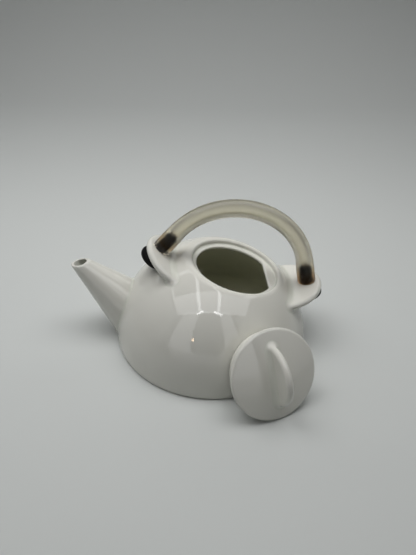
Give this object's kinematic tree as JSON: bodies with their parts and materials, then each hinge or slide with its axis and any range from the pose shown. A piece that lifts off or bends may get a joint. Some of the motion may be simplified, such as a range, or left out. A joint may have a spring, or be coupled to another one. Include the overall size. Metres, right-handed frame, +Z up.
{
  "type": "teapot",
  "caption": "Half-sphere porcelain teapot with a cone spout, a slanted opening, a bent clear hose as its handle, and a round loose lid with a fin grip that leans against its side.",
  "frame": {"origin": "middle of the pot's foot ring, on the table", "axes": "+Z up, the spout points to -X, and the handle lies in the plane y = 0"},
  "size_m": [0.2007, 0.1817, 0.119],
  "materials": {
    "porcelain": "clear glaze over white slip-cast porcelain",
    "clear_hose": "smooth extruded clear hose with a smoky olive tint",
    "black_rubber": "satin moulded"
  },
  "bodies": {
    "pot": {"pot": "porcelain", "spout": "porcelain", "handle_hose": "clear_hose", "spout_side_plug": "black_rubber", "back_plug": "black_rubber"},
    "lid": {"lid": "porcelain"}
  },
  "joints": [
    {"name": "lid_lift", "type": "slide", "parent": "pot", "child": "lid", "axis": [0, 0, 1], "range_m": [0, 0.13]}
  ]
}
